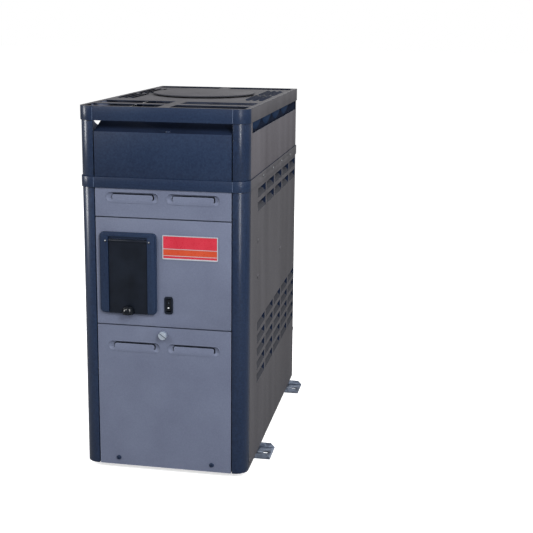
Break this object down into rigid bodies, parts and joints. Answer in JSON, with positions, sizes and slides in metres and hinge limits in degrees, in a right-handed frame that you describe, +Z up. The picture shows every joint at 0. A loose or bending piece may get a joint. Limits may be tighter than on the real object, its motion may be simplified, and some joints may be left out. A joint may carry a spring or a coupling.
{
  "type": "gas pool heater",
  "caption": "Free-standing gas pool heater: louvred sheet-metal cabinet on anchor rails, slotted hood and cap, flip-up control cover, pull-off access panel, water unions at the side.",
  "frame": {"origin": "on the floor, at the centre of the four anchor slots", "axes": "+Z up, front of the heater faces -Y, +X to the right of a person facing the front"},
  "size_m": [0.4999, 0.7038, 0.847],
  "materials": {
    "navy_powder_coat": "textured powder coat",
    "grey_powder_coat": "fine textured powder coat",
    "galvanised_sheet": "galvanised",
    "zinc_plate": "zinc plated",
    "mill_steel": "mill finish",
    "black_plastic": "fine moulded grain",
    "gloss_black_plastic": "polished",
    "grey_rubber": "soft key",
    "display_window": "clear window",
    "badge_sheet": "enamelled",
    "circuit_board": "solder mask",
    "black_pipe": "black iron",
    "cast_aluminium": "die cast",
    "copper": "drawn copper",
    "bronze": "cast bronze",
    "brass": "turned brass",
    "gasket_rubber": "cut sheet",
    "refractory_board": "pressed ceramic fibre",
    "cpvc": "moulded"
  },
  "bodies": {
    "jacket": {"anchor_rails": "galvanised_sheet", "base_pan": "galvanised_sheet", "left_side_panel": "navy_powder_coat", "right_side_panel": "navy_powder_coat", "rear_panel": "navy_powder_coat", "corner_posts": "navy_powder_coat", "cross_rails": "galvanised_sheet", "bay_bulkhead": "galvanised_sheet", "control_panel": "grey_powder_coat", "upper_front_panel": "grey_powder_coat", "jacket_top": "navy_powder_coat", "hood_posts": "navy_powder_coat", "hood_side_panels": "navy_powder_coat", "rear_hood_panel": "navy_powder_coat", "front_deflector": "navy_powder_coat", "hood_baffles": "navy_powder_coat", "top_cap": "navy_powder_coat", "flue_cover_disc": "navy_powder_coat", "badge_plate": "badge_sheet", "control_bezel": "navy_powder_coat", "cover_hinge_pins": "mill_steel", "keypad_housing": "black_plastic", "display_lens": "display_window", "rocker_housing": "black_plastic", "control_board": "circuit_board", "transformer": "mill_steel", "ignition_module": "black_plastic", "stud_receptacle": "zinc_plate", "jacket_screws": "navy_powder_coat", "collar_screws": "navy_powder_coat", "burner_tray": "galvanised_sheet", "burners": "mill_steel", "gas_manifold": "black_pipe", "gas_valve": "cast_aluminium", "gas_inlet_pipe": "black_pipe", "pilot_assembly": "mill_steel", "combustion_chamber": "galvanised_sheet", "refractory_panels": "refractory_board", "exchanger_tubes": "copper", "tube_sheets": "mill_steel", "header_gaskets": "gasket_rubber", "inlet_outlet_header": "bronze", "return_header": "bronze", "union_tailpieces": "cpvc", "relief_valve": "brass", "flue_collector": "galvanised_sheet"},
    "cover": {"control_cover": "black_plastic", "cover_knob": "gloss_black_plastic"},
    "mode_key": {"mode_button": "grey_rubber"},
    "up_key": {"up_button": "grey_rubber"},
    "down_key": {"down_button": "grey_rubber"},
    "menu_key": {"menu_button": "grey_rubber"},
    "rocker": {"power_rocker": "gloss_black_plastic"},
    "access": {"access_panel": "grey_powder_coat", "access_panel_screws": "navy_powder_coat"},
    "stud": {"access_stud": "zinc_plate"},
    "gas_knob": {"gas_valve_knob": "gloss_black_plastic"},
    "inlet_nut": {"inlet_union_nut": "cpvc"},
    "outlet_nut": {"outlet_union_nut": "cpvc"},
    "lever": {"relief_lever": "mill_steel"}
  },
  "joints": [
    {"name": "cover_hinge", "type": "hinge", "parent": "jacket", "child": "cover", "pos_m": [-0.0793, -0.383, 0.54375], "axis": [-1, 0, 0], "range_deg": [0, 110]},
    {"name": "mode_press", "type": "slide", "parent": "jacket", "child": "mode_key", "axis": [0, 1, 0], "range_m": [0, 0.001], "stiffness_N_per_m": 600},
    {"name": "up_press", "type": "slide", "parent": "jacket", "child": "up_key", "axis": [0, 1, 0], "range_m": [0, 0.001], "stiffness_N_per_m": 600},
    {"name": "down_press", "type": "slide", "parent": "jacket", "child": "down_key", "axis": [0, 1, 0], "range_m": [0, 0.001], "stiffness_N_per_m": 600},
    {"name": "menu_press", "type": "slide", "parent": "jacket", "child": "menu_key", "axis": [0, 1, 0], "range_m": [0, 0.001], "stiffness_N_per_m": 600},
    {"name": "rocker_tip", "type": "hinge", "parent": "jacket", "child": "rocker", "pos_m": [0.0123, -0.375, 0.40035], "axis": [1, 0, 0], "range_deg": [0, 18]},
    {"name": "access_pull", "type": "slide", "parent": "jacket", "child": "access", "axis": [0, -1, 0], "range_m": [0, 0.3]},
    {"name": "stud_turn", "type": "hinge", "parent": "access", "child": "stud", "pos_m": [0, -0.378, 0.332], "axis": [0, 1, 0], "range_deg": [0, 90]},
    {"name": "gas_knob_turn", "type": "hinge", "parent": "jacket", "child": "gas_knob", "pos_m": [-0.058, -0.312, 0.2], "axis": [0, 0, 1], "range_deg": [0, 90]},
    {"name": "inlet_nut_turn", "type": "hinge", "parent": "jacket", "child": "inlet_nut", "pos_m": [-0.2145, 0.0956, 0.4242], "axis": [1, 0, 0], "continuous": true},
    {"name": "outlet_nut_turn", "type": "hinge", "parent": "jacket", "child": "outlet_nut", "pos_m": [-0.2145, -0.1144, 0.4242], "axis": [1, 0, 0], "continuous": true},
    {"name": "relief_lift", "type": "hinge", "parent": "jacket", "child": "lever", "pos_m": [-0.2709, -0.0094, 0.4322], "axis": [0, -1, 0], "range_deg": [0, 75], "stiffness_Nm_per_rad": 0.5}
  ]
}
